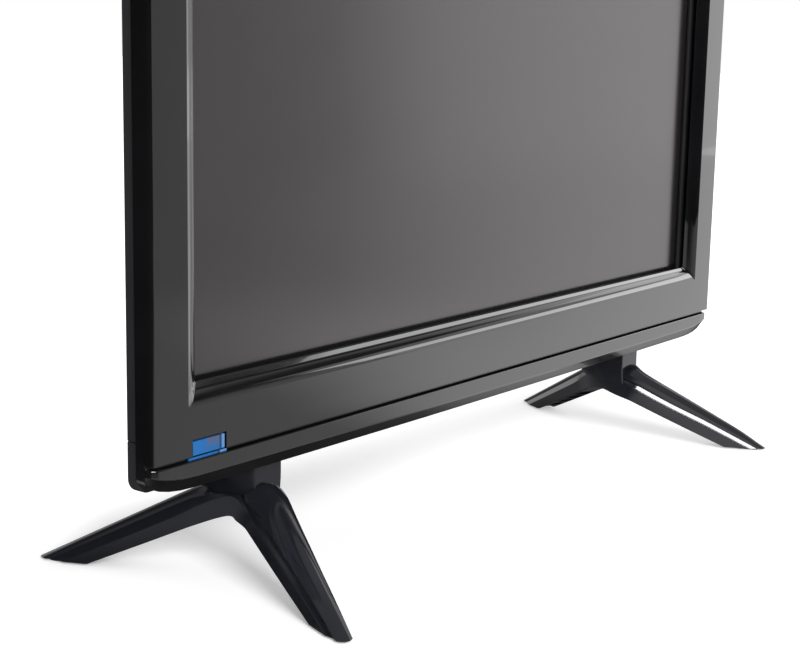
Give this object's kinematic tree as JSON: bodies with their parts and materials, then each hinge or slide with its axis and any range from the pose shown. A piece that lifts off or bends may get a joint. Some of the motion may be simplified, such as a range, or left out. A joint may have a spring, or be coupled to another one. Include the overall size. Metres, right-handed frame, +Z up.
{
  "type": "flat screen tv",
  "caption": "Small flat screen television with a gloss black frame, a recessed matte screen, a tall chin with a lower trim strip, and two splayed V-shaped stands.",
  "frame": {"origin": "on the floor, midway between the stands and midway along the foot span", "axes": "+X to the viewer's right, +Y back from the screen, +Z up"},
  "size_m": [0.469, 0.174, 0.3594],
  "materials": {
    "bezel_gloss": "gloss black",
    "trim_gloss": "gloss black",
    "window_blue": "blue translucent",
    "cover_matte": "fine matte texture",
    "stand_gloss": "gloss black",
    "pad_rubber": "matte",
    "screw_steel": "blackened",
    "brass": "plain",
    "panel_steel": "zinc plated",
    "screen_glass": "matte anti-glare",
    "white_plastic": "matte white",
    "film": "translucent",
    "clear_acrylic": "clear",
    "led_strip": "plain",
    "board_green": "solder mask",
    "board_tan": "bare laminate",
    "chip_black": "moulded",
    "heatsink": "plain",
    "tin_shield": "tin plated",
    "black_plastic": "moulded",
    "ribbon": "flat",
    "transformer_tape": "taped",
    "capacitor_sleeve": "shrink sleeve",
    "magnet_steel": "plated",
    "cone_paper": "pulp",
    "key_plastic": "moulded",
    "plunger_plastic": "moulded"
  },
  "bodies": {
    "cabinet": {"front_bezel": "bezel_gloss", "chin_trim": "trim_gloss", "remote_window": "window_blue", "rear_cover": "cover_matte", "stand_left": "stand_gloss", "stand_right": "stand_gloss", "foot_pads": "pad_rubber", "stand_screws": "screw_steel", "cover_screws": "screw_steel", "board_screws": "screw_steel", "wall_mount_inserts": "brass", "board_standoffs": "brass", "panel_front_frame": "panel_steel", "panel_back_plate": "panel_steel", "lcd_cell": "screen_glass", "panel_middle_frame": "white_plastic", "diffuser_sheet": "white_plastic", "reflector_sheet": "white_plastic", "prism_sheet": "film", "light_guide_plate": "clear_acrylic", "led_bar": "led_strip", "panel_driver_board": "board_green", "main_board": "board_green", "remote_board": "board_green", "key_board": "board_green", "power_board": "board_tan", "main_board_chips": "chip_black", "remote_receiver": "chip_black", "processor_heatsink": "heatsink", "tuner_can": "tin_shield", "hdmi_sockets": "tin_shield", "usb_socket": "tin_shield", "antenna_socket": "tin_shield", "power_inlet_pins": "tin_shield", "audio_jacks": "black_plastic", "power_inlet": "black_plastic", "speaker_box_left": "black_plastic", "speaker_box_right": "black_plastic", "key_switch_bodies": "black_plastic", "panel_ribbon": "ribbon", "transformer": "transformer_tape", "mains_capacitor": "capacitor_sleeve", "speaker_magnet_left": "magnet_steel", "speaker_magnet_right": "magnet_steel"},
    "key_power": {"key_power": "key_plastic", "plunger_power": "plunger_plastic"},
    "key_channel_up": {"key_channel_up": "key_plastic", "plunger_channel_up": "plunger_plastic"},
    "key_channel_down": {"key_channel_down": "key_plastic", "plunger_channel_down": "plunger_plastic"},
    "key_volume_up": {"key_volume_up": "key_plastic", "plunger_volume_up": "plunger_plastic"},
    "key_volume_down": {"key_volume_down": "key_plastic", "plunger_volume_down": "plunger_plastic"},
    "cone_left": {"speaker_cone_left": "cone_paper"},
    "cone_right": {"speaker_cone_right": "cone_paper"}
  },
  "joints": [
    {"name": "key_power_press", "type": "slide", "parent": "cabinet", "child": "key_power", "axis": [0, -1, 0], "range_m": [0, 0.0006], "stiffness_N_per_m": 1500, "springref_m": -0.0002},
    {"name": "key_channel_up_press", "type": "slide", "parent": "cabinet", "child": "key_channel_up", "axis": [0, -1, 0], "range_m": [0, 0.0006], "stiffness_N_per_m": 1500, "springref_m": -0.0002},
    {"name": "key_channel_down_press", "type": "slide", "parent": "cabinet", "child": "key_channel_down", "axis": [0, -1, 0], "range_m": [0, 0.0006], "stiffness_N_per_m": 1500, "springref_m": -0.0002},
    {"name": "key_volume_up_press", "type": "slide", "parent": "cabinet", "child": "key_volume_up", "axis": [0, -1, 0], "range_m": [0, 0.0006], "stiffness_N_per_m": 1500, "springref_m": -0.0002},
    {"name": "key_volume_down_press", "type": "slide", "parent": "cabinet", "child": "key_volume_down", "axis": [0, -1, 0], "range_m": [0, 0.0006], "stiffness_N_per_m": 1500, "springref_m": -0.0002},
    {"name": "cone_left_stroke", "type": "slide", "parent": "cabinet", "child": "cone_left", "axis": [0, 0, 1], "range_m": [-0.0008, 0.0008], "stiffness_N_per_m": 800},
    {"name": "cone_right_stroke", "type": "slide", "parent": "cabinet", "child": "cone_right", "axis": [0, 0, 1], "range_m": [-0.0008, 0.0008], "stiffness_N_per_m": 800}
  ]
}
